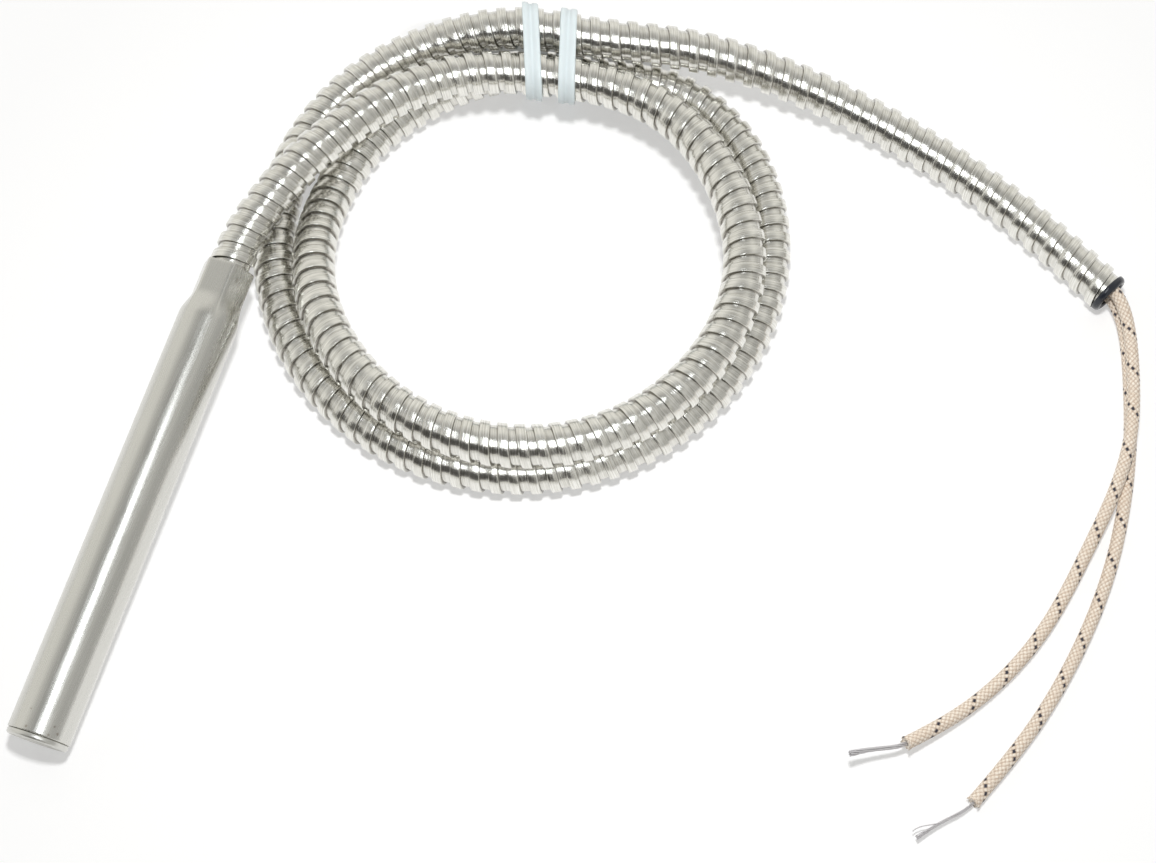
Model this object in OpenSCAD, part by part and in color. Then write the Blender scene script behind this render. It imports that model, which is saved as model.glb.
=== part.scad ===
// Cartridge heater whose leads run in a strip-wound conduit, tied in a coil of two turns.
// Millimetres, +Z up. The sheath lies along Y, its closed end on z = 0 towards -Y, its lead end held up by the conduit.

/* [Sheath] */
// outside diameter of the straight sheath
sheath_d = 15.9; // [12:0.1:20]
// length over the end disc and the crimped mouth
sheath_len = 131; // [100:0.1:200]
// wall of the sheath tube
sheath_wall = 1; // [0.6:0.05:1.4]
// length of the crimped hexagon at the mouth
crimp_len = 9.5; // [7:0.1:14]
// length of the swaged cone before the hexagon
taper_len = 5; // [3:0.1:8]
// wall left between conduit and crimp flat
crimp_wall = 0.5; // [0.3:0.05:0.9]
// thickness of the end disc's rim
disc_rim = 1.6; // [1:0.1:3]
// angle at which the stiff conduit holds the sheath up
sheath_tilt = 3; // [2.5:0.1:3.5]

/* [Conduit] */
// outside diameter over the crests
hose_d = 11.5; // [10:0.1:12.5]
// clear bore
hose_bore = 8.8; // [8.2:0.1:9.2]
// radius of the first, inner turn
coil_r = 57.5; // [55:0.1:61]
// free play between two strands that lie on each other
strand_gap = 0.4; // [0.2:0.05:1]
// length of the bushing's rim past the conduit
bushing_rim = 2; // [1.2:0.1:3]

/* [Ties] */
// width of a strap
tie_w = 4.6; // [3:0.1:5]
// thickness of a strap
tie_t = 1.1; // [0.8:0.05:1.4]
// distance between the two straps, centre to centre
tie_pitch = 10; // [8:0.1:13]

/* [Leads] */
// diameter over the glass braid
lead_d = 3.5; // [3:0.05:3.7]
// diameter of the stranded conductor
wire_d = 1.2; // [0.9:0.05:1.5]
// distance between the two leads in the conduit
lead_pitch = 4; // [3.9:0.02:4.2]

/* [Inside] */
// thickness of the magnesia fill around the winding
fill_t = 1; // [0.7:0.05:1.3]
// diameter of the resistance wire
element_d = 0.8; // [0.5:0.05:0.9]
// turns of the resistance wire
element_turns = 14; // [10:1:18]
// diameter of the terminal pins
pin_d = 2; // [1.6:0.05:2.2]
// length of the core left without winding at each end
cold_len = 6; // [4:0.5:10]
// room for the splices between the end cap and the cone
splice_room = 8; // [7:0.1:10]

/* [Hidden] */
$fn = 48;

fit = 0.05;
axis_z = sheath_d / 2;
mouth = sheath_len / 2;
tip = -sheath_len / 2;
bore_r = sheath_d / 2 - sheath_wall;
hose_r = hose_d / 2;
crimp_r = hose_r + 2 * fit;
flat_r = crimp_r + crimp_wall;
corner_r = flat_r * 1.115;
tube_start = tip + disc_rim;
taper_start = mouth - crimp_len - taper_len;

// the stack inside the sheath, counted from the closed end
spigot_end = tube_start + 2.4;
spacer_end = spigot_end + 3;
cap_end = taper_start - splice_room;
core_end = cap_end - 4;
pin_end = cap_end + 3.4;
wire_start = pin_end + 0.4;
splice_start = cap_end + 0.3;
splice_end = splice_start + 7.6;
jacket_start = splice_end + 1.2;
hose_start = mouth - crimp_len - 2;
lead_half = lead_pitch / 2;

// radii inside the sheath: the winding's straight steps stay clear of the core
fill_r = bore_r - fill_t;
wound_r = fill_r - 0.1 - element_d / 2;
core_r = wound_r * cos(22.5) - element_d / 2 - fit;

// the sheath's lean: it turns about the low edge of its closed end
pivot = tube_start + 0.25;
function leaned(y, up) = [0, pivot + (y - pivot) * cos(sheath_tilt) - up * sin(sheath_tilt),
    (y - pivot) * sin(sheath_tilt) + (axis_z + up) * cos(sheath_tilt)];
module leaning() {
    translate([0, pivot + axis_z * sin(sheath_tilt), 0]) rotate([sheath_tilt, 0, 0]) translate([0, -pivot, 0]) children();
}

// heights of the strands: on the floor, on the strap, and one strand higher
floor_z = hose_r;
tie_play = 0.3;
strap_z = hose_r + tie_play + tie_t + 0.2;
reach = hose_d + strand_gap;
tie_half = reach / 2 + 1;
upper_z = strap_z + sqrt(reach * reach - tie_half * tie_half);
turn_z = upper_z + 0.4;
over_z = floor_z + reach + 1.4;
mouth_z = leaned(mouth, 0)[2];

// routes are counted from a point just past the mouth
start_y = mouth + 2.4;

// the straps' own frame: centre and direction of the tied bundle
tie_at = [60.5, 84.7];
tie_turn = 8.8;
along = [cos(tie_turn), sin(tie_turn)];
across = [-sin(tie_turn), cos(tie_turn)];

function at_tie(s, o, z) = concat(tie_at + s * along + o * across, z);
function ease(t) = let (c = max(0, min(1, t))) c * c * (3 - 2 * c);
function rise(low, high, part) = low + (high - low) * part;
function unit(v) = v / norm(v);

// centres and radii of the two turns
first_at = [73.2, 28.1];
second_at = [69.1, 33.8];
second_r = coil_r + 9.6;

function first_z(a) = rise(turn_z, floor_z, ease((-a - 125) / 70));

// the conduit's route from the mouth: over the coil, round twice, out to the open end
route = concat(
    [for (y = [hose_start, mouth - 3.5, mouth + 0.5]) leaned(y, 0) - [0, start_y, 0]],
    [[0.8, 8, rise(mouth_z, over_z, 0.34)], [3.4, 17.6, rise(mouth_z, over_z, 0.7)],
     [7.7, 30.2, rise(mouth_z, over_z, 0.93)], [14.2, 42.8, over_z], [22.1, 54.6, over_z],
     [32.2, 65.1, rise(upper_z, over_z, 0.7)], [44.7, 72.8, rise(upper_z, over_z, 0.4)]],
    [for (s = [0, 10]) at_tie(s, -tie_half, upper_z)],
    [[95.4, 77.2, turn_z], [113.4, 65.8, turn_z]],
    [for (a = [8:-30:-172]) concat(first_at + coil_r * [cos(a), sin(a)], first_z(a))],
    [[15.8, 33.2, floor_z], [19.2, 48.8, floor_z], [29.2, 65.4, floor_z], [43.6, 78, rise(floor_z, strap_z, 0.9)]],
    [for (s = [0, 10]) at_tie(s, 0, strap_z)],
    [[88.6, 90.6, rise(floor_z, strap_z, 0.1)], [110.3, 84.6, floor_z]],
    [for (a = [20:-30:-190]) concat(second_at + second_r * [cos(a), sin(a)], floor_z)],
    [[9.6, 62.4, rise(floor_z, upper_z, 0.17)], [28, 80.4, rise(floor_z, upper_z, 0.62)]],
    [for (s = [-8, 9]) at_tie(s, tie_half, upper_z)],
    [[95.7, 98.3, rise(floor_z, upper_z, 0.9)], [125.7, 100.2, rise(floor_z, upper_z, 0.5)],
     [157.8, 96, rise(floor_z, upper_z, 0.11)], [187.9, 86.1, floor_z], [223.2, 67.5, floor_z]]);

// smooth curve through the points of a route, with a given number of steps between two points
function slope(p, i) = let (n = len(p) - 1)
    i == 0 ? unit(p[1] - p[0]) :
    i == n ? unit(p[n] - p[n - 1]) :
    let (a = p[i] - p[i - 1], b = p[i + 1] - p[i], ha = norm(a), hb = norm(b))
    (a / ha * hb + b / hb * ha) / (ha + hb);
function between(p, i, t) = let (h = norm(p[i + 1] - p[i]))
    (2 * t * t * t - 3 * t * t + 1) * p[i] + (t * t * t - 2 * t * t + t) * h * slope(p, i)
    + (3 * t * t - 2 * t * t * t) * p[i + 1] + (t * t * t - t * t) * h * slope(p, i + 1);
function curve(p, steps) = concat(
    [for (i = [0:len(p) - 2]) for (k = [0:steps - 1]) between(p, i, k / steps)], [p[len(p) - 1]]);
function lifted(p) = [for (q = p) q + [0, start_y, 0]];

hose_path = [for (q = lifted(curve(route, 2))) [q[0], q[1], max(q[2], floor_z)]];
hose_last = len(hose_path) - 1;
end_at = hose_path[hose_last];
end_dir = unit(end_at - hose_path[hose_last - 1]);
end_turn = atan2(end_dir[1], end_dir[0]);

// frame of a path at one point: forward, up and side
function ahead(p, i) = unit(p[min(i + 1, len(p) - 1)] - p[max(i - 1, 0)]);
function upward(t) = unit([0, 0, 1] - t[2] * t);
function offset_up(p, d) = [for (i = [0:len(p) - 1]) p[i] + d * upward(ahead(p, i))];

// leads: from the splice, along the conduit at a set offset, then free on the floor
lead_z = lead_d / 2;
free_b = lifted(curve([[223.2, 67.5, floor_z - lead_half], [226.6, 65.5, floor_z - lead_half], [231.6, 57.7, lead_z + 0.5],
    [235.4, 45.8, lead_z], [239, 30.1, lead_z], [241.2, 13.6, lead_z], [241.7, -5.4, lead_z], [239.1, -27.4, lead_z],
    [232.4, -52.5, lead_z], [222.2, -76.1, lead_z]], 2));
free_a = lifted(curve([[223.2, 67.5, floor_z + lead_half], [226.6, 65.5, floor_z + lead_half], [231.6, 57.7, lead_z + 4.3],
    [235.4, 45.8, lead_z + lead_d + 0.1], [238.2, 30.3, lead_z + lead_d + 0.1], [238, 14.8, lead_z + lead_d * 0.75],
    [235.2, -2.7, lead_z + 0.4], [228.1, -30.5, lead_z], [213.9, -55.2, lead_z + 0.6], [202.4, -67.6, lead_z + 3]], 2));
function tail(p) = [for (i = [1:len(p) - 1]) p[i]];
function head(p) = [for (i = [0:len(p) - 2]) p[i]];
lead_a = concat([leaned(jacket_start, lead_half)], offset_up(head(hose_path), lead_half), free_a);
lead_b = concat([leaned(jacket_start, -lead_half)], offset_up(head(hose_path), -lead_half), free_b);
wire_a = concat([leaned(wire_start, lead_half)], lead_a, lifted([[190, -74.6, lead_z + 6]]));
wire_b = concat([leaned(wire_start, -lead_half)], lead_b, lifted([[211.2, -88.3, lead_z + 1]]));

// ring of points around a path
function ring(p, i, r, n) = let (t = ahead(p, i), u = upward(t), s = cross(t, u))
    [for (k = [0:n - 1]) p[i] + r * (cos(360 * (k + 0.5) / n) * s + sin(360 * (k + 0.5) / n) * u)];

// closed skin over rings of n points each
module skin(rings, n) {
    m = len(rings);
    polyhedron(
        points = [for (one = rings) for (q = one) q],
        faces = concat(
            [for (i = [0:m - 2]) for (k = [0:n - 1]) [i * n + k, i * n + (k + 1) % n, (i + 1) * n + (k + 1) % n]],
            [for (i = [0:m - 2]) for (k = [0:n - 1]) [i * n + k, (i + 1) * n + (k + 1) % n, (i + 1) * n + k]],
            [[for (k = [n - 1:-1:0]) k]],
            [[for (k = [0:n - 1]) (m - 1) * n + k]]),
        convexity = 12);
}

// round bar along a path
module bar(p, r, n) {
    skin([for (i = [0:len(p) - 1]) ring(p, i, r, n)], n);
}

// hollow tube along a path
module tube(p, r, bore, n) {
    m = len(p);
    z = m * n;
    polyhedron(
        points = concat(
            [for (i = [0:m - 1]) for (q = ring(p, i, r, n)) q],
            [for (i = [0:m - 1]) for (q = ring(p, i, bore, n)) q]),
        faces = concat(
            [for (i = [0:m - 2]) for (k = [0:n - 1]) [i * n + k, i * n + (k + 1) % n, (i + 1) * n + (k + 1) % n]],
            [for (i = [0:m - 2]) for (k = [0:n - 1]) [i * n + k, (i + 1) * n + (k + 1) % n, (i + 1) * n + k]],
            [for (i = [0:m - 2]) for (k = [0:n - 1]) [z + i * n + k, z + (i + 1) * n + (k + 1) % n, z + i * n + (k + 1) % n]],
            [for (i = [0:m - 2]) for (k = [0:n - 1]) [z + i * n + k, z + (i + 1) * n + k, z + (i + 1) * n + (k + 1) % n]],
            [for (k = [0:n - 1]) [k, z + k, z + (k + 1) % n, (k + 1) % n]],
            [for (k = [0:n - 1]) let (b = (m - 1) * n) [b + k, b + (k + 1) % n, z + b + (k + 1) % n, z + b + k]]),
        convexity = 12);
}

// turned piece on the sheath's axis, its profile given as radius and place along Y
module turned(profile) {
    translate([0, 0, axis_z]) rotate([-90, 0, 0]) rotate_extrude() polygon(profile);
}

// plain rod along Y at an offset from the sheath's axis
module rod(r, y0, y1, up) {
    translate([0, y0, axis_z + up]) rotate([-90, 0, 0]) cylinder(r = r, h = y1 - y0);
}

module sheath() {
    color("#b7b5ac") leaning() difference() {
        intersection() {
            turned([[0, tube_start], [sheath_d / 2 - 0.25, tube_start], [sheath_d / 2, tube_start + 0.25],
                [sheath_d / 2, taper_start], [corner_r, taper_start + taper_len], [corner_r, mouth], [0, mouth]]);
            union() {
                translate([0, tip - 1, axis_z]) rotate([-90, 0, 0])
                    cylinder(r = sheath_d, h = mouth - crimp_len - tip + 1);
                translate([0, mouth - crimp_len - 0.5, axis_z]) rotate([-90, 0, 0]) rotate(54)
                    linear_extrude(crimp_len + 1) circle(r = flat_r / cos(30), $fn = 6);
            }
        }
        turned([[0, tube_start - 1], [bore_r, tube_start - 1], [bore_r, taper_start],
            [crimp_r, taper_start + taper_len - 2.5], [crimp_r, mouth + 1], [0, mouth + 1]]);
    }
}

module end_disc() {
    color("#aaa89f") leaning() turned([[0, tip + 0.5], [bore_r - 0.9, tip + 0.5], [bore_r - 0.4, tip], [sheath_d / 2 - 0.7, tip],
        [sheath_d / 2 - 0.2, tip + 0.5], [sheath_d / 2 - 0.2, tube_start - 0.3], [sheath_d / 2 - 0.5, tube_start],
        [bore_r - fit, tube_start], [bore_r - fit, spigot_end], [0, spigot_end]]);
}

module tip_spacer() {
    color("#e9e4d8") leaning() rod(bore_r - 0.1, spigot_end, spacer_end, 0);
}

module core() {
    color("#efeadf") leaning() difference() {
        rod(core_r, spacer_end, core_end, 0);
        for (s = [-1, 1]) rod(pin_d / 2 + fit, spacer_end - 1, core_end + 1, s * lead_half);
    }
}

module heating_coil() {
    y0 = spacer_end + cold_len;
    y1 = core_end - cold_len;
    n = element_turns * 8;
    color("#7d7a75") leaning() skin([for (i = [0:n]) [for (k = [0:4]) let (
        r = wound_r + element_d / 2 * cos(72 * k),
        y = y0 + (y1 - y0) * i / n - element_d / 2 * sin(72 * k))
        [r * cos(45 * i), y, axis_z + r * sin(45 * i)]]], 5);
}

module fill() {
    color("#f3efe6") leaning() turned([[fill_r, spacer_end], [bore_r - fit, spacer_end], [bore_r - fit, core_end], [fill_r, core_end]]);
}

module pin(s) {
    color("#9b988f") leaning() rod(pin_d / 2, spacer_end + 3, pin_end, s * lead_half);
}

module pin_a() {
    pin(1);
}

module pin_b() {
    pin(-1);
}

module lead_end_cap() {
    color("#e6dfcf") leaning() difference() {
        rod(bore_r - 0.1, core_end, cap_end, 0);
        for (s = [-1, 1]) rod(pin_d / 2 + fit, core_end - 1, cap_end + 1, s * lead_half);
    }
}

splice_r = pin_d / 2 + 0.6;

module splice(s) {
    color("#c9c6bd") leaning() difference() {
        rod(splice_r, splice_start, splice_end, s * lead_half);
        rod(pin_d / 2 + fit, splice_start - 1, pin_end + 0.2, s * lead_half);
        rod(wire_d / 2 + fit, splice_start, splice_end + 1, s * lead_half);
    }
}

module splice_a() {
    splice(1);
}

module splice_b() {
    splice(-1);
}

module splice_sleeve(s) {
    color("#e8dcc0") leaning() difference() {
        rod(splice_r + 0.3, splice_start, splice_end + 0.8, s * lead_half);
        rod(splice_r + fit, splice_start - 1, splice_end + 2, s * lead_half);
    }
}

module splice_sleeve_a() {
    splice_sleeve(1);
}

module splice_sleeve_b() {
    splice_sleeve(-1);
}

module conduit() {
    color("#bcbab0") tube(hose_path, hose_r, hose_bore / 2, 12);
}

module bushing() {
    spigot_r = hose_bore / 2 * cos(15) - fit;
    hole_r = max(lead_half + lead_d / 2 + 0.1, spigot_r - 0.5);
    rim_r = hose_r - 0.25;
    color("#151515") translate(end_at) rotate(end_turn) rotate([0, 90, 0]) rotate_extrude()
        polygon([[hole_r, -6], [spigot_r, -6], [spigot_r, 0], [rim_r - 0.2, 0], [rim_r, 0.3], [rim_r, bushing_rim - 0.7],
            [rim_r - 0.7, bushing_rim], [hole_r + 0.3, bushing_rim], [hole_r, bushing_rim - 0.3]]);
}

// where the three tied strands cross a strap's plane: place across, height
function station(q) = let (v = [q[0], q[1] - start_y] - tie_at) [v * along, v * across, q[2]];
function strands_at(s) = [for (i = [0:hose_last - 1])
    let (a = station(hose_path[i]), b = station(hose_path[i + 1]), t = (s - a[0]) / (b[0] - a[0]))
    if (a[0] <= s && b[0] > s && abs(a[1]) < 25) [a[1] + t * (b[1] - a[1]), a[2] + t * (b[2] - a[2])]];

// outline of a band drawn around three strands, in small straight steps
function side(strands, i) = let (d = strands[(i + 1) % 3] - strands[i]) atan2(d[1], d[0]) - 90;
function outline(strands, r) = [for (i = [0:2]) for (k = [0:12])
    let (a = side(strands, (i + 2) % 3), b = side(strands, i), c = a + k / 12 * (b < a ? b - a + 360 : b - a))
    strands[i] + r * [cos(c), sin(c)]];

module tie(s) {
    inner = hose_r + tie_play;
    strands = strands_at(s * tie_pitch / 2);
    a = strands[1];
    d = strands[2] - a;
    color("#f2f3f0") translate(concat(tie_at + [0, start_y] + s * tie_pitch / 2 * along, 0)) rotate([90, 0, 90 + tie_turn])
        translate([0, 0, -tie_w / 2]) union() {
            linear_extrude(tie_w) difference() {
                polygon(outline(strands, inner + tie_t));
                polygon(outline(strands, inner));
            }
            translate(a) rotate(atan2(d[1], d[0])) translate([norm(d) / 2 - 1.5, -inner - 4.4, -0.6])
                linear_extrude(tie_w + 1.2)
                    polygon([[0, 0.8], [0.8, 0], [4.7, 0], [5.5, 0.8], [5.5, 4.2], [0, 4.2]]);
        }
}

module tie_left() {
    tie(-1);
}

module tie_right() {
    tie(1);
}

module lead_jacket_a() {
    color("#d9c6a8") tube(lead_a, lead_d / 2, wire_d / 2 + 0.1, 8);
}

module lead_jacket_b() {
    color("#d9c6a8") tube(lead_b, lead_d / 2, wire_d / 2 + 0.1, 8);
}

module lead_wire_a() {
    color("#a9a7a2") bar(wire_a, wire_d / 2, 5);
}

module lead_wire_b() {
    color("#a9a7a2") bar(wire_b, wire_d / 2, 5);
}

sheath();
end_disc();
tip_spacer();
core();
heating_coil();
fill();
pin_a();
pin_b();
lead_end_cap();
splice_a();
splice_b();
splice_sleeve_a();
splice_sleeve_b();
conduit();
bushing();
tie_left();
tie_right();
lead_jacket_a();
lead_jacket_b();
lead_wire_a();
lead_wire_b();
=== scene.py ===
"""Looks of a cartridge heater whose leads run in a tied coil of strip-wound conduit, for Blender."""

import math

import bpy
import numpy as np
from mathutils import Matrix, Vector


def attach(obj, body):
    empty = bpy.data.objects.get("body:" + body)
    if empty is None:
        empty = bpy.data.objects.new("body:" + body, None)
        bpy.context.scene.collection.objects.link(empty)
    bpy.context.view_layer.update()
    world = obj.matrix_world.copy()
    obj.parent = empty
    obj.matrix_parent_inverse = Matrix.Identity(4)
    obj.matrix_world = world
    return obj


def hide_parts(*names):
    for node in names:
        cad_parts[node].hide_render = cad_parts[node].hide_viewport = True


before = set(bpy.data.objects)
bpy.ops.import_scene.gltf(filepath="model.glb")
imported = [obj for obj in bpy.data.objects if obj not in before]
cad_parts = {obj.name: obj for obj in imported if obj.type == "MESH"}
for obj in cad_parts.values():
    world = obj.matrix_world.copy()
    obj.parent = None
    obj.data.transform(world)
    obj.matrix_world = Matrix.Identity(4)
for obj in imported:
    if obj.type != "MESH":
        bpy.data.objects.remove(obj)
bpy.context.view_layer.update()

MM = 0.001
TAU = 2 * math.pi

# Sizes in millimetres, the same as the CAD part's
SHEATH_R = 7.95
TILT = math.radians(3)
TIP = -65.5
MOUTH = 65.5
TUBE_START = -63.9
TAPER_START = 51.0
TAPER_LEN = 5.0
SHEATH_BORE_R = 6.95
CRIMP_R = 5.85
FLAT_R = 6.35
HOSE_R = 5.75
HOSE_BORE_R = 4.4
STRIP_PITCH = 4.8
STRIP_CREST = 2.65
LEAD_R = 1.75
LEAD_HALF = 2.0
TIE_W = 4.6
TIE_T = 1.1
HEAD_W = 2.9
HEAD_L = 2.75
FLOOR_Z = HOSE_R
STRAP_Z = HOSE_R + 0.3 + TIE_T + 0.2
REACH = 2 * HOSE_R + 0.4
TIE_HALF = REACH / 2 + 1
UPPER_Z = STRAP_Z + math.sqrt(REACH**2 - TIE_HALF**2)
TURN_Z = UPPER_Z + 0.4
OVER_Z = FLOOR_Z + REACH + 1.4
START_Y = MOUTH + 2.4
TIE_AT = np.array([60.5, 84.7 + START_Y])
TIE_TURN = math.radians(8.8)
ALONG = np.array([math.cos(TIE_TURN), math.sin(TIE_TURN)])
ACROSS = np.array([-math.sin(TIE_TURN), math.cos(TIE_TURN)])


# Paths


def leaned(points):
    """Points of the sheath turned up about the low edge of its closed end."""
    p = np.asarray(points, float)
    pivot = TUBE_START + 0.25
    y, z = p[..., 1] - pivot, p[..., 2]
    ahead = pivot + SHEATH_R * math.sin(TILT) + y * math.cos(TILT) - z * math.sin(TILT)
    return np.stack([p[..., 0], ahead, y * math.sin(TILT) + z * math.cos(TILT)], -1)


def rise(low, high, part):
    """Height at a share of the way from low to high."""
    return low + (high - low) * part


def ease(t):
    """Smooth step from 0 to 1."""
    c = np.clip(t, 0, 1)
    return c * c * (3 - 2 * c)


def on_circle(centre, radius, angles, height):
    """Points on a level circle, with a height for each angle in degrees."""
    return [
        [
            centre[0] + radius * math.cos(math.radians(a)),
            centre[1] + radius * math.sin(math.radians(a)),
            height(a),
        ]
        for a in angles
    ]


def at_tie(s, o, z):
    """A point in the straps' frame (along the bundle, across it, height), from just past the mouth."""
    p = TIE_AT + s * ALONG + o * ACROSS
    return [p[0], p[1] - START_Y, z]


def conduit_route():
    """Points that the conduit passes, from just past the mouth, the same as the CAD part's."""
    first = leaned([[0, y, SHEATH_R] for y in (54.0, 62.0, 66.0)]) - [0, START_Y, 0]
    mouth_z = float(leaned([0, MOUTH, SHEATH_R])[2])

    def first_height(a):
        return rise(TURN_Z, FLOOR_Z, float(ease((-a - 125) / 70)))

    return (
        first.tolist()
        + [
            [0.8, 8, rise(mouth_z, OVER_Z, 0.34)],
            [3.4, 17.6, rise(mouth_z, OVER_Z, 0.7)],
            [7.7, 30.2, rise(mouth_z, OVER_Z, 0.93)],
            [14.2, 42.8, OVER_Z],
            [22.1, 54.6, OVER_Z],
            [32.2, 65.1, rise(UPPER_Z, OVER_Z, 0.7)],
            [44.7, 72.8, rise(UPPER_Z, OVER_Z, 0.4)],
        ]
        + [at_tie(s, -TIE_HALF, UPPER_Z) for s in (0, 10)]
        + [[95.4, 77.2, TURN_Z], [113.4, 65.8, TURN_Z]]
        + on_circle((73.2, 28.1), 57.5, range(8, -173, -30), first_height)
        + [
            [15.8, 33.2, FLOOR_Z],
            [19.2, 48.8, FLOOR_Z],
            [29.2, 65.4, FLOOR_Z],
            [43.6, 78, rise(FLOOR_Z, STRAP_Z, 0.9)],
        ]
        + [at_tie(s, 0, STRAP_Z) for s in (0, 10)]
        + [[88.6, 90.6, rise(FLOOR_Z, STRAP_Z, 0.1)], [110.3, 84.6, FLOOR_Z]]
        + on_circle((69.1, 33.8), 67.1, range(20, -191, -30), lambda a: FLOOR_Z)
        + [
            [9.6, 62.4, rise(FLOOR_Z, UPPER_Z, 0.17)],
            [28, 80.4, rise(FLOOR_Z, UPPER_Z, 0.62)],
        ]
        + [at_tie(s, TIE_HALF, UPPER_Z) for s in (-8, 9)]
        + [
            [95.7, 98.3, rise(FLOOR_Z, UPPER_Z, 0.9)],
            [125.7, 100.2, rise(FLOOR_Z, UPPER_Z, 0.5)],
            [157.8, 96, rise(FLOOR_Z, UPPER_Z, 0.11)],
            [187.9, 86.1, FLOOR_Z],
            [223.2, 67.5, FLOOR_Z],
        ]
    )


def unit(v):
    """Vectors of length one."""
    return v / np.linalg.norm(v, axis=-1, keepdims=True)


def smooth_line(points, step):
    """Natural cubic spline through the points by chord length, sampled at an even step."""
    p = np.array(points, float)
    t = np.r_[0, np.cumsum(np.linalg.norm(np.diff(p, axis=0), axis=1))]
    n = len(p)
    h = np.diff(t)
    a = np.eye(n)
    b = np.zeros((n, 3))
    for i in range(1, n - 1):
        a[i, i - 1 : i + 2] = h[i - 1], 2 * (h[i - 1] + h[i]), h[i]
        b[i] = 6 * ((p[i + 1] - p[i]) / h[i] - (p[i] - p[i - 1]) / h[i - 1])
    m = np.linalg.solve(a, b)
    u = np.linspace(0, t[-1], int(t[-1] / 0.1))
    k = np.clip(np.searchsorted(t, u, side="right") - 1, 0, n - 2)
    x = (u - t[k])[:, None]
    g = h[k][:, None]
    q = (
        p[k]
        + x * ((p[k + 1] - p[k]) / g - g * (2 * m[k] + m[k + 1]) / 6)
        + x**2 * m[k] / 2
        + x**3 * (m[k + 1] - m[k]) / (6 * g)
    )
    return even(q, step)


def even(q, step):
    """The same line with points at an even step."""
    s = np.r_[0, np.cumsum(np.linalg.norm(np.diff(q, axis=0), axis=1))]
    w = np.linspace(0, s[-1], int(round(s[-1] / step)) + 1)
    return np.stack([np.interp(w, s, q[:, i]) for i in range(3)], 1)


class Line:
    """A line in space with a frame that doesn't twist about it, read at any distance along it."""

    def __init__(self, points):
        self.p = points
        self.s = np.r_[0, np.cumsum(np.linalg.norm(np.diff(points, axis=0), axis=1))]
        self.length = self.s[-1]
        self.t = unit(np.gradient(points, self.s, axis=0))
        n = np.zeros_like(points)
        v = np.array([0, 0, 1.0])
        for i, t in enumerate(self.t):
            v = v - (v @ t) * t
            v = v / np.linalg.norm(v)
            n[i] = v
        self.n = n
        self.b = np.cross(self.t, n)
        bend = np.gradient(self.t, self.s, axis=0)
        self.bend_n = np.convolve((bend * n).sum(1), np.ones(41) / 41, "same")
        self.bend_b = np.convolve((bend * self.b).sum(1), np.ones(41) / 41, "same")

    def read(self, values, s):
        """Values kept for each point, at the distances s."""
        if values.ndim == 1:
            return np.interp(s, self.s, values)
        return np.stack([np.interp(s, self.s, values[:, i]) for i in range(3)], -1)

    def around(self, s, angle, radius):
        """Points at a distance along the line, an angle about it and a radius from it."""
        side = self.read(self.n, s) * np.cos(angle)[..., None]
        side = side + self.read(self.b, s) * np.sin(angle)[..., None]
        return self.read(self.p, s) + side * np.asarray(radius)[..., None]


# Meshes


def add_mesh(name, points, faces, material, values=None, replaced=()):
    """A smooth mesh at the origin from points in millimetres, which rides on the part."""
    mesh = bpy.data.meshes.new(name)
    mesh.from_pydata((np.asarray(points, float) * MM).tolist(), [], faces)
    for key, value in (values or {}).items():
        value = np.asarray(value, np.float32)
        kind = "FLOAT" if value.ndim == 1 else "FLOAT_VECTOR"
        field = "value" if value.ndim == 1 else "vector"
        layer = mesh.attributes.new(key, kind, "POINT")
        layer.data.foreach_set(field, value.ravel())
    mesh.polygons.foreach_set("use_smooth", np.ones(len(mesh.polygons), bool))
    mesh.materials.append(material)
    mesh.update()
    piece = bpy.data.objects.new(name, mesh)
    bpy.context.scene.collection.objects.link(piece)
    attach(piece, "root")
    if replaced:
        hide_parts(*replaced)
    return piece


def grid_faces(rows, cols, wrap_rows=False):
    """Four-sided faces of a grid of points, row by row, each row a ring."""
    r = np.arange(rows if wrap_rows else rows - 1)
    i, j = np.meshgrid(r, np.arange(cols), indexing="ij")
    i2, j2 = (i + 1) % rows, (j + 1) % cols
    quads = np.stack([i * cols + j, i * cols + j2, i2 * cols + j2, i2 * cols + j], -1)
    return quads.reshape(-1, 4).tolist()


def tube(line, s, radius, sides):
    """Points and faces of a round tube along a line, with a radius for each distance s."""
    angle = np.arange(sides) / sides * TAU
    r = np.broadcast_to(np.asarray(radius, float), (len(s),))
    p = line.around(
        s[:, None] + 0 * angle, angle + 0 * s[:, None], r[:, None] + 0 * angle
    )
    return p.reshape(-1, 3), grid_faces(len(s), sides)


def turned(profile, axis_point, forward, sides):
    """Points and faces of a turned piece, whose profile gives radius and place along its axis."""
    f = unit(np.asarray(forward, float))
    up = unit(np.array([0, 0, 1.0]) - f[2] * f)
    side = np.cross(f, up)
    angle = np.arange(sides) / sides * TAU
    out = (
        np.cos(angle)[None, :, None] * side[None, None]
        + np.sin(angle)[None, :, None] * up[None, None]
    )
    prof = np.array(profile, float)
    p = (
        np.asarray(axis_point, float)
        + prof[:, 1, None, None] * f
        + prof[:, 0, None, None] * out
    )
    return p.reshape(-1, 3), grid_faces(len(prof), sides)


def joined(parts):
    """One list of points and faces from several."""
    points, faces, n = [], [], 0
    for p, f in parts:
        points.append(p)
        faces += [[v + n for v in face] for face in f]
        n += len(p)
    return np.concatenate(points), faces


# Materials


def linear(code):
    """Linear colour of an sRGB hex code."""
    c = np.array([int(code[i : i + 2], 16) / 255 for i in (1, 3, 5)])
    c = np.where(c <= 0.04045, c / 12.92, ((c + 0.055) / 1.055) ** 2.4)
    return (*[float(x) for x in c], 1.0)


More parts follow.
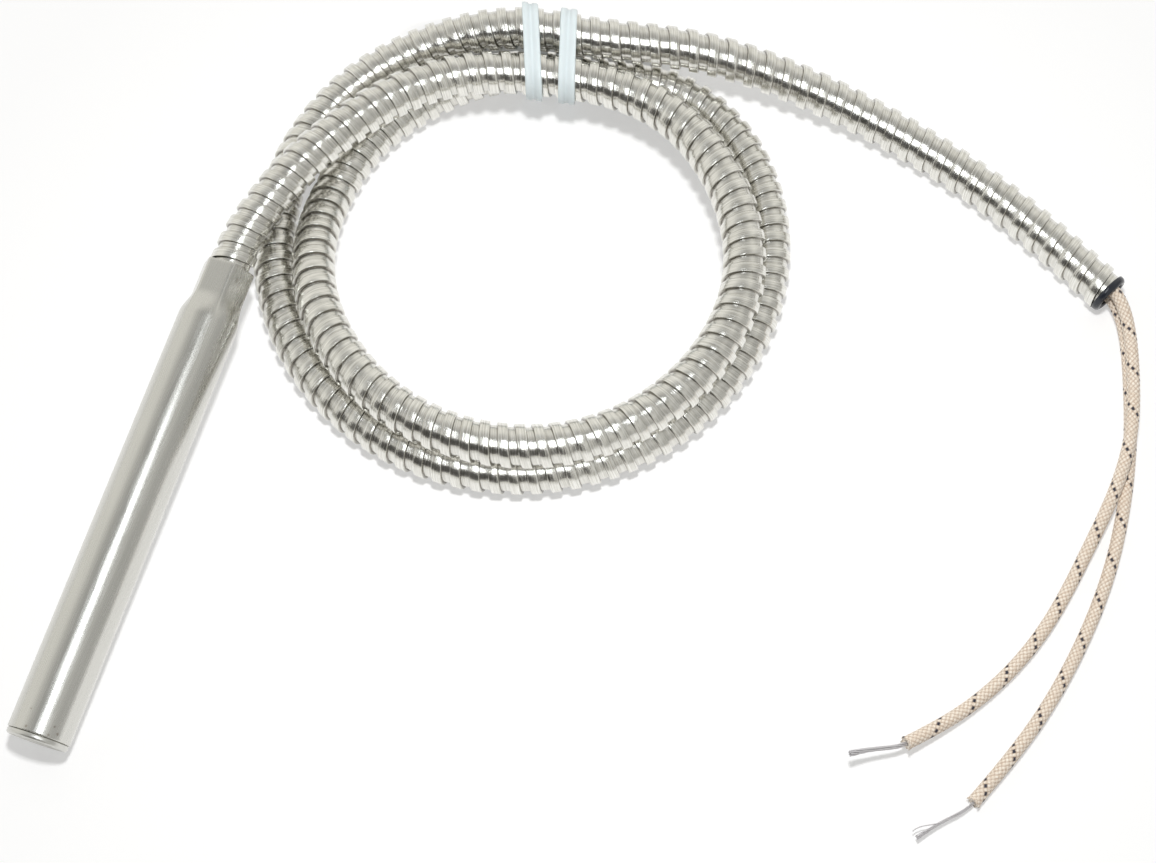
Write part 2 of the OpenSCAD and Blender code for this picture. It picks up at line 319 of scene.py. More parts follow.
def node(tree, kind, inputs, out=0, **settings):
    """Adds a node and gives one of its outputs. Each input takes a value or a link."""
    made = tree.nodes.new(kind)
    for key, value in settings.items():
        setattr(made, key, value)
    for key, value in inputs.items():
        if isinstance(value, bpy.types.NodeSocket):
            tree.links.new(value, made.inputs[key])
        else:
            made.inputs[key].default_value = value
    return made.outputs[out]


def new_material(name):
    """An empty material, its tree and its main shader."""
    material = bpy.data.materials.new(name)
    material.use_nodes = True
    tree = material.node_tree
    return material, tree, tree.nodes["Principled BSDF"]


def rolled_strip_steel():
    """Bright rolled stainless strip: shiny, with streaks along the strip and painted shade, dark brown, in
    the corners between its turns and in the bore.

    A streak is 8 mm long and 0.3 mm wide: 0.12 and 3 to the millimetre of the strip's own coordinates.
    """
    material, tree, shader = new_material("rolled_strip_steel")
    strip = node(tree, "ShaderNodeAttribute", {}, "Vector", attribute_name="strip")
    depth = node(tree, "ShaderNodeAttribute", {}, "Fac", attribute_name="depth")
    place = node(tree, "ShaderNodeMapping", {"Vector": strip, "Scale": (0.12, 3.0, 1.0)})
    streak = node(tree, "ShaderNodeTexNoise", {"Vector": place, "Scale": 1.0, "Detail": 4.0}, "Fac")
    share = node(tree, "ShaderNodeMapRange", {"Value": streak, "From Min": 0.3, "From Max": 0.7})
    ends = {0: share, 6: linear("#D0CEC6"), 7: linear("#F5F4EF")}
    plain = node(tree, "ShaderNodeMix", ends, 2, data_type="RGBA")
    # Painted shade: the colour goes dark brown where the depth value is high, down the walls between turns
    # and in the bore.
    ends = {0: depth, 6: plain, 7: linear("#645E54")}
    colour = node(tree, "ShaderNodeMix", ends, 2, data_type="RGBA")
    rough = node(tree, "ShaderNodeMapRange", {"Value": share, "To Min": 0.16, "To Max": 0.28})
    height = {"Height": streak, "Strength": 0.5, "Distance": 0.12 * MM}
    shader.inputs["Metallic"].default_value = 1.0
    tree.links.new(colour, shader.inputs["Base Color"])
    tree.links.new(rough, shader.inputs["Roughness"])
    tree.links.new(node(tree, "ShaderNodeBump", height), shader.inputs["Normal"])
    return material


def ground_steel():
    """Satin ground stainless of the sheath: fine marks along it and a few small brown spots at its ends.

    A mark is 0.6 mm wide and 17 mm long; the finish clouds in patches 17 mm wide and 40 mm long.
    """
    material, tree, shader = new_material("ground_steel")
    place = node(tree, "ShaderNodeTexCoord", {}, "Object")
    fine = node(tree, "ShaderNodeMapping", {"Vector": place, "Scale": (1600.0, 60.0, 1600.0)})
    marks = node(tree, "ShaderNodeTexNoise", {"Vector": fine, "Scale": 1.0, "Detail": 3.0}, "Fac")
    broad = node(tree, "ShaderNodeMapping", {"Vector": place, "Scale": (60.0, 25.0, 60.0)})
    cloud = node(tree, "ShaderNodeTexNoise", {"Vector": broad, "Scale": 1.0, "Detail": 2.0}, "Fac")
    ends = {0: cloud, 6: linear("#CBCAC4"), 7: linear("#DBDAD5")}
    plain = node(tree, "ShaderNodeMix", ends, 2, data_type="RGBA")
    spot = node(tree, "ShaderNodeAttribute", {}, "Fac", attribute_name="spot")
    ends = {0: spot, 6: plain, 7: linear("#7A6650")}
    colour = node(tree, "ShaderNodeMix", ends, 2, data_type="RGBA")
    span = {"Value": marks, "From Min": 0.3, "From Max": 0.7, "To Min": 0.2, "To Max": 0.32}
    rough = node(tree, "ShaderNodeMapRange", span)
    shader.inputs["Metallic"].default_value = 1.0
    tree.links.new(colour, shader.inputs["Base Color"])
    tree.links.new(rough, shader.inputs["Roughness"])
    return material


def welded_steel():
    """Stainless end disc, a little duller than the sheath."""
    material, tree, shader = new_material("welded_steel")
    shader.inputs["Metallic"].default_value = 1.0
    shader.inputs["Base Color"].default_value = linear("#D4D3CE")
    shader.inputs["Roughness"].default_value = 0.34
    return material


def black_bushing_plastic():
    """Glossy black moulded plastic."""
    material, tree, shader = new_material("black_bushing_plastic")
    shader.inputs["Base Color"].default_value = linear("#23262E")
    shader.inputs["Roughness"].default_value = 0.2
    return material


def strap_nylon():
    """Natural moulded nylon: bluish white, with a little light passing through."""
    material, tree, shader = new_material("strap_nylon")
    shader.inputs["Base Color"].default_value = linear("#E4EEF1")
    shader.inputs["Roughness"].default_value = 0.38
    shader.inputs["Subsurface Weight"].default_value = 0.4
    shader.inputs["Subsurface Radius"].default_value = (1.0, 1.0, 1.0)
    shader.inputs["Subsurface Scale"].default_value = 0.8 * MM
    return material


def glass_braid():
    """Varnished cream glass braid with one dark tracer carrier: flecked yarns with painted shade, brown,
    between them.

    The flecks are 0.6 mm wide, coarser than real filaments, so that they show.
    """
    material, tree, shader = new_material("glass_braid")
    place = node(tree, "ShaderNodeTexCoord", {}, "Object")
    fleck = node(tree, "ShaderNodeTexNoise", {"Vector": place, "Scale": 1800.0, "Detail": 2.0}, "Fac")
    share = node(tree, "ShaderNodeMapRange", {"Value": fleck, "From Min": 0.35, "From Max": 0.65})
    ends = {0: share, 6: linear("#E8D7C4"), 7: linear("#FDF5E8")}
    yarn = node(tree, "ShaderNodeMix", ends, 2, data_type="RGBA")
    groove = node(tree, "ShaderNodeAttribute", {}, "Fac", attribute_name="groove")
    share = node(tree, "ShaderNodeMapRange", {"Value": groove, "From Min": 0.15, "From Max": 0.85})
    # Painted shade: brown where the yarns dip between each other.
    ends = {0: share, 6: yarn, 7: linear("#BCA48F")}
    shaded = node(tree, "ShaderNodeMix", ends, 2, data_type="RGBA")
    tracer = node(tree, "ShaderNodeAttribute", {}, "Fac", attribute_name="tracer")
    ends = {0: tracer, 6: shaded, 7: linear("#2B2A36")}
    colour = node(tree, "ShaderNodeMix", ends, 2, data_type="RGBA")
    tree.links.new(colour, shader.inputs["Base Color"])
    shader.inputs["Roughness"].default_value = 0.42
    return material


def plated_wire():
    """Fine plated copper strands, silver grey."""
    material, tree, shader = new_material("plated_wire")
    shader.inputs["Metallic"].default_value = 0.7
    shader.inputs["Base Color"].default_value = linear("#DEDCDE")
    shader.inputs["Roughness"].default_value = 0.4
    return material


def pressed_magnesia():
    """Dull off-white pressed ceramic."""
    material, tree, shader = new_material("pressed_magnesia")
    shader.inputs["Base Color"].default_value = linear("#EDE8DC")
    shader.inputs["Roughness"].default_value = 0.8
    return material


def drawn_nickel():
    """Plain drawn nickel of the pins, splices and winding."""
    material, tree, shader = new_material("drawn_nickel")
    shader.inputs["Metallic"].default_value = 1.0
    shader.inputs["Base Color"].default_value = linear("#9C9A92")
    shader.inputs["Roughness"].default_value = 0.35
    return material


STEEL_STRIP = rolled_strip_steel()
STEEL_SHEATH = ground_steel()
STEEL_DISC = welded_steel()
BLACK = black_bushing_plastic()
NYLON = strap_nylon()
BRAID = glass_braid()
WIRE = plated_wire()
MAGNESIA = pressed_magnesia()
NICKEL = drawn_nickel()

for name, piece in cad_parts.items():
    inside = MAGNESIA if name in ("tip_spacer", "core", "fill", "lead_end_cap") else NICKEL
    piece.data.materials.clear()
    piece.data.materials.append(BRAID if "sleeve" in name else inside)


# Conduit

route = np.array(conduit_route(), float) + [0, START_Y, 0]
centre = smooth_line(route, 0.5)
centre[:, 2] = np.maximum(centre[:, 2], FLOOR_Z)
hose = Line(centre)


def strip_wound(line):
    """Outer skin of strip-wound conduit: a square-edged profile carried along a helix about the line.

    Crests keep their width; the valleys open on the outside of a bend and close on the inside.
    The last 190 mm, the tail, is drawn out a little, so its pitch grows there.
    """
    crest = STRIP_CREST
    sides = 36
    # The crest: which edge, how far along from that edge, how deep below the outside
    shape = [
        (-1, 0.0, 0.84),
        (-1, 0.015, 0.16),
        (-1, 0.07, 0.03),
        (-1, 0.17, 0.0),
        (0, 0.0, 0.0),
        (1, -0.17, 0.0),
        (1, -0.07, 0.03),
        (1, -0.015, 0.16),
        (1, 0.0, 0.84),
    ]
    # The valley: share of the gap, how deep below the outside
    valley = [(0.06, 0.86), (0.5, 0.86), (0.94, 0.86)]
    pitch = STRIP_PITCH + 0.6 * ease((line.s - (line.length - 190)) / 40)
    pitch = pitch + 0.15 * ease((line.s - (line.length - 80)) / 80)
    phase = np.r_[0, np.cumsum(np.diff(line.s) * TAU / pitch[:-1])]
    turns = int(phase[-1] / TAU) + 3
    angle = np.arange(sides) / sides * TAU
    k = np.arange(-1, turns - 1)
    mid = np.interp(
        k[:, None] * TAU + angle,
        np.r_[-TAU * 2, phase, phase[-1] + TAU * 3],
        np.r_[-10, line.s, line.length + 15],
    )
    at = np.clip(mid, 0, line.length)
    bend = line.read(line.bend_n, at) * np.cos(angle) + line.read(
        line.bend_b, at
    ) * np.sin(angle)
    stretch = 1 - HOSE_R * bend
    gap = np.interp(at, line.s, pitch) - crest / stretch
    # depth sets the painted shade: strong down the walls between crest and valley, faint in the valleys.
    rows, radii, across, depth = [], [], [], []
    for side, offset, low in shape:
        rows.append(mid + (side * crest / 2 + offset) / stretch)
        radii.append(HOSE_R - low)
        across.append(side * crest / 2 + offset)
        depth.append(min(1.0, max(0.0, low - 0.1) / 0.75))
    for share, low in valley:
        rows.append(mid + crest / 2 / stretch + share * gap)
        radii.append(HOSE_R - low)
        across.append(crest / 2 + share * 2.3)
        depth.append(0.05 if share == 0.5 else 0.2)
    s = np.clip(np.stack(rows, 1), 0, line.length).reshape(-1, sides)
    m = len(rows)
    radius = np.tile(np.array(radii), len(k))[:, None] + 0 * angle
    points = line.around(s, angle + 0 * s, radius)
    n = len(s)
    i, j = np.meshgrid(np.arange(n - 1), np.arange(sides), indexing="ij")
    last = j == sides - 1
    j2 = (j + 1) % sides
    step = np.where(last, m, 0)
    ok = i + 1 + step < n
    quads = np.stack(
        [
            i * sides + j,
            (i + step) * sides + j2,
            (i + 1 + step) * sides + j2,
            (i + 1) * sides + j,
        ],
        -1,
    )[ok]
    flat = points.reshape(-1, 3)
    span = s.reshape(-1)[quads]
    quads = quads[(span.max(1) - span.min(1)) > 1e-4]
    turn_of = np.repeat(k, m)[:, None] * TAU + angle
    strip = np.stack(
        [
            turn_of * HOSE_R,
            np.tile(np.array(across), len(k))[:, None] + 0 * angle,
            0 * turn_of,
        ],
        -1,
    ).reshape(-1, 3)
    low = (np.tile(np.array(depth), len(k))[:, None] + 0 * angle).ravel()
    return flat, quads.tolist(), strip, low


outer, outer_faces, strip, depth = strip_wound(hose)
inner_s = np.linspace(0, hose.length, 180)
bore = tube(hose, inner_s, HOSE_BORE_R, 16)
points, faces = joined([(outer, outer_faces), (bore[0], [f[::-1] for f in bore[1]])])
pad = len(points) - len(outer)
conduit = add_mesh(
    "conduit_strip",
    points,
    faces,
    STEEL_STRIP,
    {
        "strip": np.r_[strip, np.zeros((pad, 3))],
        # The bore gets painted shade as well.
        "depth": np.r_[depth, np.full(pad, 0.8)],
    },
    ("conduit",),
)


# Sheath


def hexagon(angle, flat, sharp):
    """Radius of a hexagon with soft corners at an angle from one of its corners."""
    total = sum(
        np.maximum(0, np.cos(angle - math.radians(30 + 60 * k))) ** sharp
        for k in range(6)
    )
    return flat / total ** (1 / sharp)


def sheath_skin():
    """Tube skin: round along its length, eased down to a hexagon at the mouth, then back along the bore."""
    sides = 180
    angle = np.arange(sides) / sides * TAU
    # One corner of the hexagon stands 24 degrees off the top
    ridge = math.radians(90 - 24)
    hexa = hexagon(angle - ridge, FLAT_R, 34)
    rows = []

    def ring(y, radius):
        rows.append(
            np.stack(
                [radius * np.cos(angle), 0 * angle + y, SHEATH_R + radius * np.sin(angle)], -1
            )
        )

    whole = np.full(sides, SHEATH_R)
    ring(TUBE_START + 0.5, np.full(sides, SHEATH_BORE_R - 0.05))
    ring(TUBE_START, np.full(sides, SHEATH_BORE_R))
    ring(TUBE_START, whole - 0.3)
    ring(TUBE_START + 0.08, whole - 0.1)
    ring(TUBE_START + 0.25, whole)
    for y in np.linspace(TUBE_START + 0.4, TUBE_START + 6, 24):
        ring(y, whole)
    for y in np.linspace(TUBE_START + 8, TAPER_START - 1.6, 56):
        ring(y, whole)
    for t in np.linspace(0, 1, 28):
        y = TAPER_START - 1.5 + t * (TAPER_LEN + 2.4)
        ring(y, whole + (hexa - whole) * ease(t))
    for y in np.linspace(TAPER_START + TAPER_LEN + 1.2, MOUTH - 0.25, 16):
        ring(y, hexa)
    ring(MOUTH - 0.06, hexa - 0.06)
    ring(MOUTH, hexa - 0.2)
    ring(MOUTH, np.full(sides, CRIMP_R + 0.08))
    ring(MOUTH - 0.1, np.full(sides, CRIMP_R))
    ring(TAPER_START + TAPER_LEN, np.full(sides, CRIMP_R))
    ring(TAPER_START, np.full(sides, SHEATH_BORE_R))
    ring(TUBE_START + 0.5, np.full(sides, SHEATH_BORE_R))
    p = np.stack(rows)
    return p.reshape(-1, 3), grid_faces(len(rows), sides)


def spots_on(points, places):
    """How far each point lies in one of the small round spots, 0 to 1."""
    found = np.zeros(len(points))
    for x, y, z, r in places:
        d = np.linalg.norm(points - [x, y, z], axis=1)
        found = np.maximum(found, np.clip(1.2 - d / r, 0, 1))
    return found


# Spots on the sheath: x, y, z before it leans, and radius
SPOTS = [
    (4.6, 61.8, 12.6, 0.5),
    (4.8, 58.4, 12.7, 0.45),
    (5.2, 56.1, 12.6, 0.5),
    (-1.3, -62.9, 15.8, 0.36),
    (4.9, -60.9, 14.2, 0.3),
    (5.9, -62.3, 13.2, 0.42),
    (4.3, -63.2, 14.6, 0.3),
    (-1.8, -58.6, 15.7, 0.24),
]
skin, skin_faces = sheath_skin()
add_mesh(
    "sheath_tube",
    leaned(skin),
    [f[::-1] for f in skin_faces],
    STEEL_SHEATH,
    {"spot": 0.7 * spots_on(skin, SPOTS)},
    ("sheath",),
)

disc_profile = [
    (0.0, 0.5),
    (5.6, 0.5),
    (6.05, 0.42),
    (6.4, 0.12),
    (6.65, 0.0),
    (7.15, 0.0),
    (7.5, 0.12),
    (7.72, 0.45),
    (7.75, 0.8),
    (7.75, 1.25),
    (7.6, 1.5),
    (6.9, 1.6),
    (6.9, 4.0),
    (0.0, 4.0),
]
disc, disc_faces = turned(
    disc_profile, leaned([0, TIP, SHEATH_R]), (0, math.cos(TILT), math.sin(TILT)), 96
)
add_mesh(
    "end_disc_turned", disc, disc_faces, STEEL_DISC, None, ("end_disc",)
)


# Bushing

end_at = hose.p[-1]
end_dir = hose.t[-1]
bushing_profile = [
    (3.8, -6.0),
    (4.2, -6.0),
    (4.2, 0.0),
    (5.2, 0.02),
    (5.5, 0.1),
    (5.62, 0.4),
    (5.6, 0.9),
    (5.45, 1.4),
    (5.1, 1.8),
    (4.7, 1.98),
    (4.3, 1.92),
    (4.0, 1.6),
    (3.85, 1.1),
    (3.8, 0.4),
    (3.8, -6.0),
]
ring_points, ring_faces = turned(bushing_profile, end_at, end_dir, 72)
bushing = add_mesh(
    "bushing_moulded",
    ring_points,
    ring_faces,
    BLACK,
    None,
    ("bushing",),
)


# Straps


def crossings(s):
    """Where the three tied strands cross a strap's plane: place across, height."""
    v = hose.p[:, :2] - TIE_AT
    a, o = v @ ALONG, v @ ACROSS
    found = []
    # The far side of the coil lies more than 25 mm off
    for i in np.nonzero((a[:-1] <= s) & (a[1:] > s) & (np.abs(o[:-1]) < 25))[0]:
        t = (s - a[i]) / (a[i + 1] - a[i])
        found.append(
            [rise(o[i], o[i + 1], t), rise(hose.p[i, 2], hose.p[i + 1, 2], t)]
        )
    return np.array(found)


def band_outline(strands, radius, steps=16):
    """Outline drawn tight about three circles: arcs joined by straight sides, and each point's way out."""
    points, ways = [], []
    for i in range(3):
        a, b, c = strands[i - 1], strands[i], strands[(i + 1) % 3]
        start = math.atan2(*(b - a)[::-1]) - math.pi / 2
        stop = math.atan2(*(c - b)[::-1]) - math.pi / 2
        stop += TAU if stop < start else 0
        for w in np.linspace(start, stop, steps):
            way = np.array([math.cos(w), math.sin(w)])
            points.append(b + radius * way)
            ways.append(way)
        for t in (0.25, 0.5, 0.75):
            way = np.array([math.cos(stop), math.sin(stop)])
            points.append(rise(b, c, t) + radius * way)
            ways.append(way)
    return np.array(points), np.array(ways)


def strap(s, lean):
    """A strap drawn about the three strands: a flat band with a groove along its middle, and its head below.

    It sits a little askew: each point moves along the bundle by lean times its place across.
    """
    strands = crossings(s)
    inner, ways = band_outline(strands, HOSE_R + 0.12)
    half = TIE_W / 2
    profile = [
        (-half, 0.0),
        (-half, 0.75),
        (-half + 0.12, 0.98),
        (-half + 0.35, TIE_T),
        (-0.62, TIE_T),
        (-0.52, TIE_T - 0.35),
        (0.52, TIE_T - 0.35),
        (0.62, TIE_T),
        (half - 0.35, TIE_T),
        (half - 0.12, 0.98),
        (half, 0.75),
        (half, 0.0),
    ]
    rows = []
    for p, w in zip(inner, ways):
        rows.append([(u, *(p + h * w)) for u, h in profile])
    local = np.array(rows)
    band = (local.reshape(-1, 3), grid_faces(len(inner), len(profile), True))
    b, c = strands[1], strands[2]
    way = unit(c - b)
    out = np.array([way[1], -way[0]])
    mid = rise(b, c, 0.5) + way * 1.25
    corner = [(-1, -0.75), (-0.75, -1), (0.75, -1), (1, -0.75)]
    ring = corner + [(-u, -v) for u, v in corner]
    rings = []
    # Rings of the head: height above the strands, share of its full width
    for h, k in ((0.2, 1.0), (3.9, 1.0), (4.3, 0.9), (4.4, 0.4), (4.4, 0.02)):
        level = mid + out * (HOSE_R + h)
        rings.append([(HEAD_W * k * u, *(level + way * HEAD_L * k * v)) for u, v in ring])
    head = (np.array(rings).reshape(-1, 3), grid_faces(len(rings), len(ring)))
    q, faces = joined([band, head])
    along = s + q[:, 0] - lean * q[:, 1]
    flat = TIE_AT + np.outer(along, ALONG) + np.outer(q[:, 1], ACROSS)
    return np.c_[flat, q[:, 2]], faces


for name, s, lean in (("tie_left", -5.0, 0.21), ("tie_right", 5.0, 0.13)):
    p, f = strap(s, lean)
    add_mesh(name + "_strap", p, f, NYLON, None, (name,))


# Leads

TIPS = {"a": [190, -74.6, LEAD_R + 6], "b": [211.2, -88.3, LEAD_R + 1]}
FREE = {
    "a": [
        [226.6, 65.5, FLOOR_Z + LEAD_HALF],
        [231.6, 57.7, LEAD_R + 4.3],
        [235.4, 45.8, 3 * LEAD_R + 0.1],
        [238.2, 30.3, 3 * LEAD_R + 0.1],
        [238, 14.8, LEAD_R * 2.5],
        [235.2, -2.7, LEAD_R + 0.4],
        [228.1, -30.5, LEAD_R],
        [213.9, -55.2, LEAD_R + 0.6],
        [202.4, -67.6, LEAD_R + 3],
    ],
    "b": [
        [226.6, 65.5, FLOOR_Z - LEAD_HALF],
        [231.6, 57.7, LEAD_R + 0.5],
        [235.4, 45.8, LEAD_R],
        [239, 30.1, LEAD_R],
        [241.2, 13.6, LEAD_R],
        [241.7, -5.4, LEAD_R],
        [239.1, -27.4, LEAD_R],
        [232.4, -52.5, LEAD_R],
        [222.2, -76.1, LEAD_R],
    ],
}
LAY = 11.5
CARRIERS = 8


def braid(line, start, turn):
    """Braided sleeve: two families of carriers on opposite helices, over and under each other.

    The yarn on top stands up as half a sine across its width and dips where it dives under.
    """
    sides = 64
    s = np.r_[np.arange(start, line.length - 0.01, 0.24), line.length]
    angle = np.arange(sides) / sides * TAU
    p = CARRIERS * (angle[None] / TAU + (s[:, None] + turn) / LAY)
    q = CARRIERS * (angle[None] / TAU - (s[:, None] + turn) / LAY)
    top = (np.floor(p) + np.floor(q)) % 2 == 0
    over = np.where(top, p, q) % 1
    under = np.where(top, q, p) % 1
    height = np.sin(np.pi * over) ** 0.6 * (0.55 + 0.45 * np.sin(np.pi * under))
    radius = LEAD_R - 0.2 + 0.2 * height
    tracer = (top & (np.floor(p) % CARRIERS == 0) & (over > 0.08) & (over < 0.92)).astype(float)
    frayed = np.clip((s[:, None] - line.length + 1.5) / 1.5, 0, 1)
    ragged = 0.5 + 0.3 * np.sin(3 * angle + turn) + 0.2 * np.sin(11 * angle)
    radius = radius + 0.22 * frayed**2
    points = line.around(s[:, None] - frayed * ragged, angle + 0 * s[:, None], radius)
    # The cut end turns in: radius, place along the line from its end
    tail = np.array([(1.5, -0.7), (1.1, -0.6), (0.6, -0.7), (0.55, -2.0)])
    ends = line.p[-1] + tail[:, 1, None, None] * line.t[-1]
    way = line.n[-1] * np.cos(angle)[:, None] + line.b[-1] * np.sin(angle)[:, None]
    ends = ends + tail[:, 0, None, None] * way
    points = np.concatenate([points, ends])
    # groove sets the painted shade where the yarns dip, and a little on the turned-in end.
    groove = np.r_[1 - height, np.full((4, sides), 0.2)].ravel()
    tracer = np.r_[tracer, np.zeros((4, sides))].ravel()
    faces = grid_faces(len(points), sides)
    return points.reshape(-1, 3), faces, groove, tracer


def strands_to(line_end, way, tip, thick, splay):
    """Bare strands twisted about a line from inside the sleeve to the tip; one may stand off by splay."""
    parts = []
    start = line_end - 3.0 * way
    run = np.array([start, line_end, rise(line_end, tip, 0.5) + [0, 0, 0.1], tip])
    line = Line(smooth_line(run, 0.2))
    s = line.s
    # Three strands in the middle and seven about them
    for i in range(10):
        ring, turn = (0.16, i * TAU / 3) if i < 3 else (0.44, i * TAU / 7)
        w = turn + s / 16 * TAU
        spread = 1 + 0.5 * ease((s - s[-1] + 6) / 6)
        off = ring * spread * thick
        q = line.around(s, w, off)
        if splay and i == 9:
            lift = ease((s - s[-1] + 7) / 7)
            q = q + lift[:, None] * np.array(splay)
        own = Line(q)
        parts.append(tube(own, own.s, 0.155 if i == 9 else 0.155 * thick, 6))
    return joined(parts)


inside_s = np.linspace(0, hose.length - 12, 110)
for key, up in (("a", LEAD_HALF), ("b", -LEAD_HALF)):
    t = hose.read(hose.t, inside_s)
    high = unit(np.array([0, 0, 1.0]) - t[:, 2:3] * t)
    inside = hose.read(hose.p, inside_s) + up * high
    free = np.array(FREE[key], float) + [0, START_Y, 0]
    first = leaned([[0, 52.1, SHEATH_R + up]])
    line = Line(smooth_line(np.concatenate([first, inside, free]), 0.25))
    start = line.s[np.argmin(np.linalg.norm(line.p - inside[-1], axis=1))]
    run_s = np.linspace(0, start + 1.5, 260)
    p, f = tube(line, run_s, LEAD_R - 0.1, 10)
    plain = np.zeros(len(p))
    marks = {"groove": plain, "tracer": plain}
    add_mesh("lead_run_" + key, p, f, BRAID, marks, ())
    p, f, groove, tracer = braid(line, start, 2.0 if key == "a" else 7.0)
    jacket = add_mesh(
        "lead_braid_" + key,
        p,
        f,
        BRAID,
        {"groove": groove, "tracer": tracer},
        ("lead_jacket_" + key,),
    )
    tip = np.array(TIPS[key], float) + [0, START_Y, 0]
    thick, splay = (1.0, None) if key == "a" else (0.72, (-1.3, 1.2, 0.6))
    p, f = strands_to(line.p[-1], line.t[-1], tip, thick, splay)
    wire = add_mesh(
        "lead_strands_" + key, p, f, WIRE, None, ("lead_wire_" + key,)
    )


# Floor, light and camera


def white_floor():
    """White table that glows for the camera and in metal, so that the part's shadow on it stays pale.

    The camera sees it glow more away from the part, where the lamp is weaker.
    Under the tied strands it glows less: a painted shadow.
    """
    material, tree, shader = new_material("white_floor")
    shader.inputs["Base Color"].default_value = linear("#CECECE")
    shader.inputs["Roughness"].default_value = 0.9
    shader.inputs["Specular IOR Level"].default_value = 0.0
    camera = node(tree, "ShaderNodeLightPath", {}, "Is Camera Ray")
    glossy = node(tree, "ShaderNodeLightPath", {}, "Is Glossy Ray")
    seen = node(tree, "ShaderNodeMath", {0: camera, 1: glossy}, operation="MAXIMUM")
    glow = node(tree, "ShaderNodeMapRange", {"Value": seen, "To Min": 0.22, "To Max": 0.41})
    place = node(tree, "ShaderNodeTexCoord", {}, "Object")
    ends = {0: place, 1: (0.11, 0.05, 0.0)}
    far = node(tree, "ShaderNodeVectorMath", ends, "Value", operation="DISTANCE")
    span = {"Value": far, "From Min": 0.2, "From Max": 1.0, "To Max": 0.6}
    more = node(tree, "ShaderNodeMapRange", span)
    glow = node(tree, "ShaderNodeMath", {0: camera, 1: more, 2: glow}, operation="MULTIPLY_ADD")
    # Painted shadow: the glow fades out in a patch under the tied strands.
    middle = (TIE_AT - 5 * ALONG + 10 * ACROSS) * MM
    patch = {
        "Vector": place,
        "Location": (*middle, 0.0),
        "Rotation": (0.0, 0.0, TIE_TURN),
        "Scale": (42 * MM, 11 * MM, 1.0),
    }
    under = node(tree, "ShaderNodeMapping", patch, vector_type="TEXTURE")
    reach = node(tree, "ShaderNodeVectorMath", {0: under}, "Value", operation="LENGTH")
    clear = node(tree, "ShaderNodeMapRange", {"Value": reach, "From Min": 0.6})
    glow = node(tree, "ShaderNodeMath", {0: glow, 1: clear}, operation="MULTIPLY")
    shader.inputs["Emission Color"].default_value = (1, 1, 1, 1)
    tree.links.new(glow, shader.inputs["Emission Strength"])
    return material


def level_square(name, x, y, z, half, material):
    """A level square of a given half width, not part of the object."""
    mesh = bpy.data.meshes.new(name)
    turns = ((-1, -1), (1, -1), (1, 1), (-1, 1))
    corners = [(x + u * half, y + v * half, z) for u, v in turns]
    mesh.from_pydata(corners, [], [(0, 1, 2, 3)])
    mesh.materials.append(material)
    piece = bpy.data.objects.new(name, mesh)
    bpy.context.scene.collection.objects.link(piece)


level_square("floor", 0.1, 0.05, -0.0002, 1.5, white_floor())


def upright_card(name, left, right, height, material):
    """An upright card between two low corners, not part of the object."""
    mesh = bpy.data.meshes.new(name)
    top = [(x, y, z + height) for x, y, z in (right, left)]
    mesh.from_pydata([left, right, *top], [], [(0, 1, 2, 3)])
    mesh.materials.append(material)
    piece = bpy.data.objects.new(name, mesh)
    bpy.context.scene.collection.objects.link(piece)


def softbox(name, place, target, width, depth, watts, color=(1, 1, 1)):
    """A rectangular lamp that faces a point."""
    lamp = bpy.data.lights.new(name, "AREA")
    lamp.shape = "RECTANGLE"
    lamp.size = width
    lamp.size_y = depth
    lamp.energy = watts
    lamp.color = color
    piece = bpy.data.objects.new(name, lamp)
    piece.location = place
    piece.rotation_mode = "QUATERNION"
    way = Vector(target) - Vector(place)
    piece.rotation_quaternion = way.to_track_quat("-Z", "Y")
    bpy.context.scene.collection.objects.link(piece)
    return piece


key = softbox("key", (0.13, -0.06, 0.5), (0.12, 0.05, 0), 0.12, 0.32, 0.7, (0.92, 0.96, 1.0))
key.visible_diffuse = False
key.visible_camera = False
top = softbox("top", (0.106, 0.052, 0.53), (0.106, 0.053, 0), 0.05, 0.05, 2.05)
top.visible_glossy = False
top.visible_camera = False


def grey_cloth():
    """Plain grey cloth of the dark side of the room, behind the camera."""
    material, tree, shader = new_material("grey_cloth")
    shader.inputs["Base Color"].default_value = linear("#6C6A68")
    shader.inputs["Roughness"].default_value = 1.0
    shader.inputs["Specular IOR Level"].default_value = 0.0
    return material


upright_card("dark_side", (-0.95, -0.9, 0.2), (0.75, -0.9, 0.2), 1.1, grey_cloth())


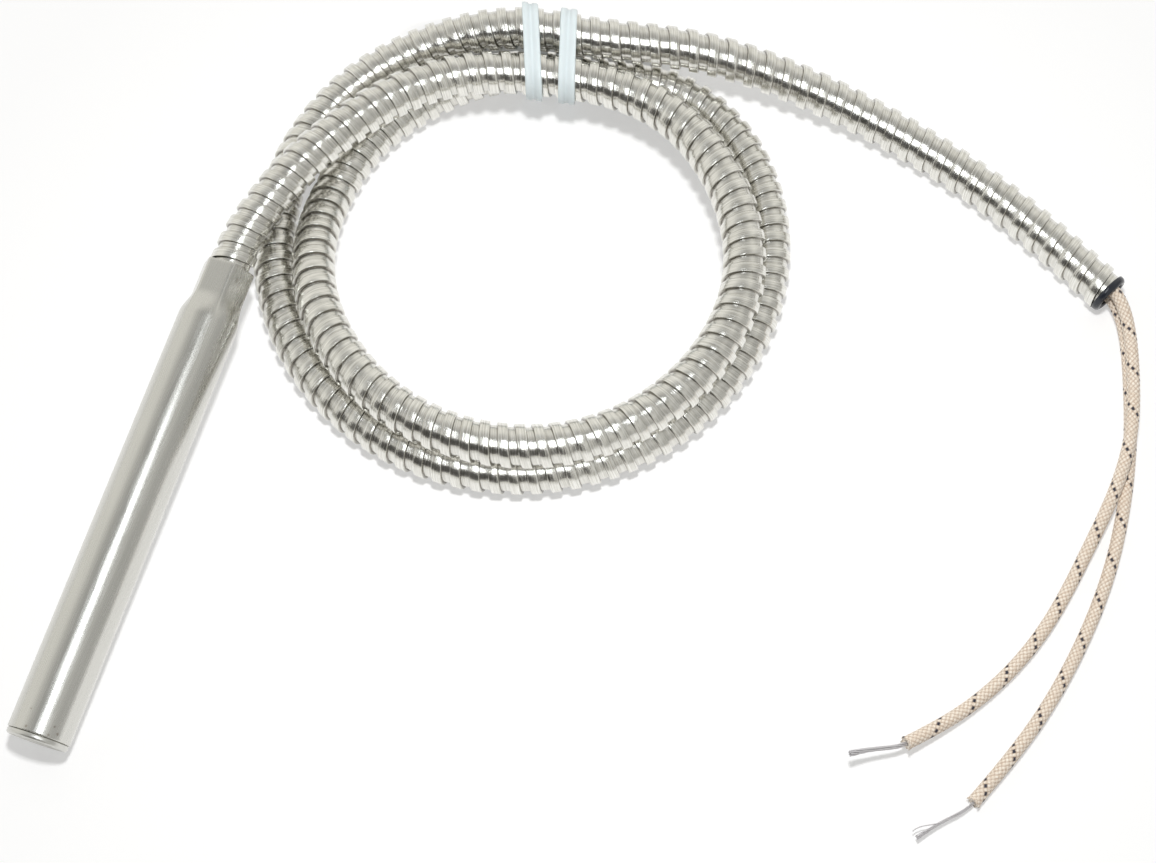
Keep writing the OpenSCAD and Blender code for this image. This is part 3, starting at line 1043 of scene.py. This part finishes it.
def studio_world():
    """White for the camera, and for metal a pale room that is grey above and to the right.

    The room lights everything else dimly.
    """
    world = bpy.data.worlds.new("studio")
    bpy.context.scene.world = world
    world.use_nodes = True
    tree = world.node_tree
    tree.nodes.clear()
    way = node(tree, "ShaderNodeTexCoord", {}, "Generated")
    height = node(tree, "ShaderNodeSeparateXYZ", {0: way}, "Z")
    aside = node(tree, "ShaderNodeSeparateXYZ", {0: way}, "X")
    grey = linear("#A6A6A4")
    share = node(tree, "ShaderNodeMapRange", {"Value": height, "From Min": 0.65})
    ends = {0: share, 6: linear("#F2F1EC"), 7: grey}
    colour = node(tree, "ShaderNodeMix", ends, 2, data_type="RGBA")
    span = {"Value": aside, "From Min": 0.5, "From Max": 0.8, "To Max": 0.75}
    share = node(tree, "ShaderNodeMapRange", span)
    colour = node(tree, "ShaderNodeMix", {0: share, 6: colour, 7: grey}, 2, data_type="RGBA")
    glossy = node(tree, "ShaderNodeLightPath", {}, "Is Glossy Ray")
    strength = node(tree, "ShaderNodeMapRange", {"Value": glossy, "To Min": 0.58})
    room = node(tree, "ShaderNodeBackground", {"Color": colour, "Strength": strength})
    white = node(tree, "ShaderNodeBackground", {"Color": (1, 1, 1, 1)})
    camera = node(tree, "ShaderNodeLightPath", {}, "Is Camera Ray")
    mix = node(tree, "ShaderNodeMixShader", {0: camera, 1: room, 2: white})
    tree.links.new(mix, tree.nodes.new("ShaderNodeOutputWorld").inputs["Surface"])


studio_world()


def photo_camera():
    """The camera at the photo's place and angle."""
    lens = bpy.data.cameras.new("camera")
    lens.sensor_width = 36.0
    lens.lens = 58.24
    lens.clip_start = 0.01
    lens.clip_end = 20.0
    piece = bpy.data.objects.new("camera", lens)
    right = Vector((0.9512, 0.3085, 0.0)).normalized()
    ahead = Vector((-0.1080, 0.3331, -0.9367)).normalized()
    up = right.cross(ahead).normalized()
    right = ahead.cross(up)
    turn = Matrix((right, up, -ahead)).transposed()
    piece.matrix_world = Matrix.Translation((0.1535, -0.1092, 0.463)) @ turn.to_4x4()
    bpy.context.scene.collection.objects.link(piece)
    bpy.context.scene.camera = piece


photo_camera()
bpy.context.scene.view_settings.view_transform = "Standard"
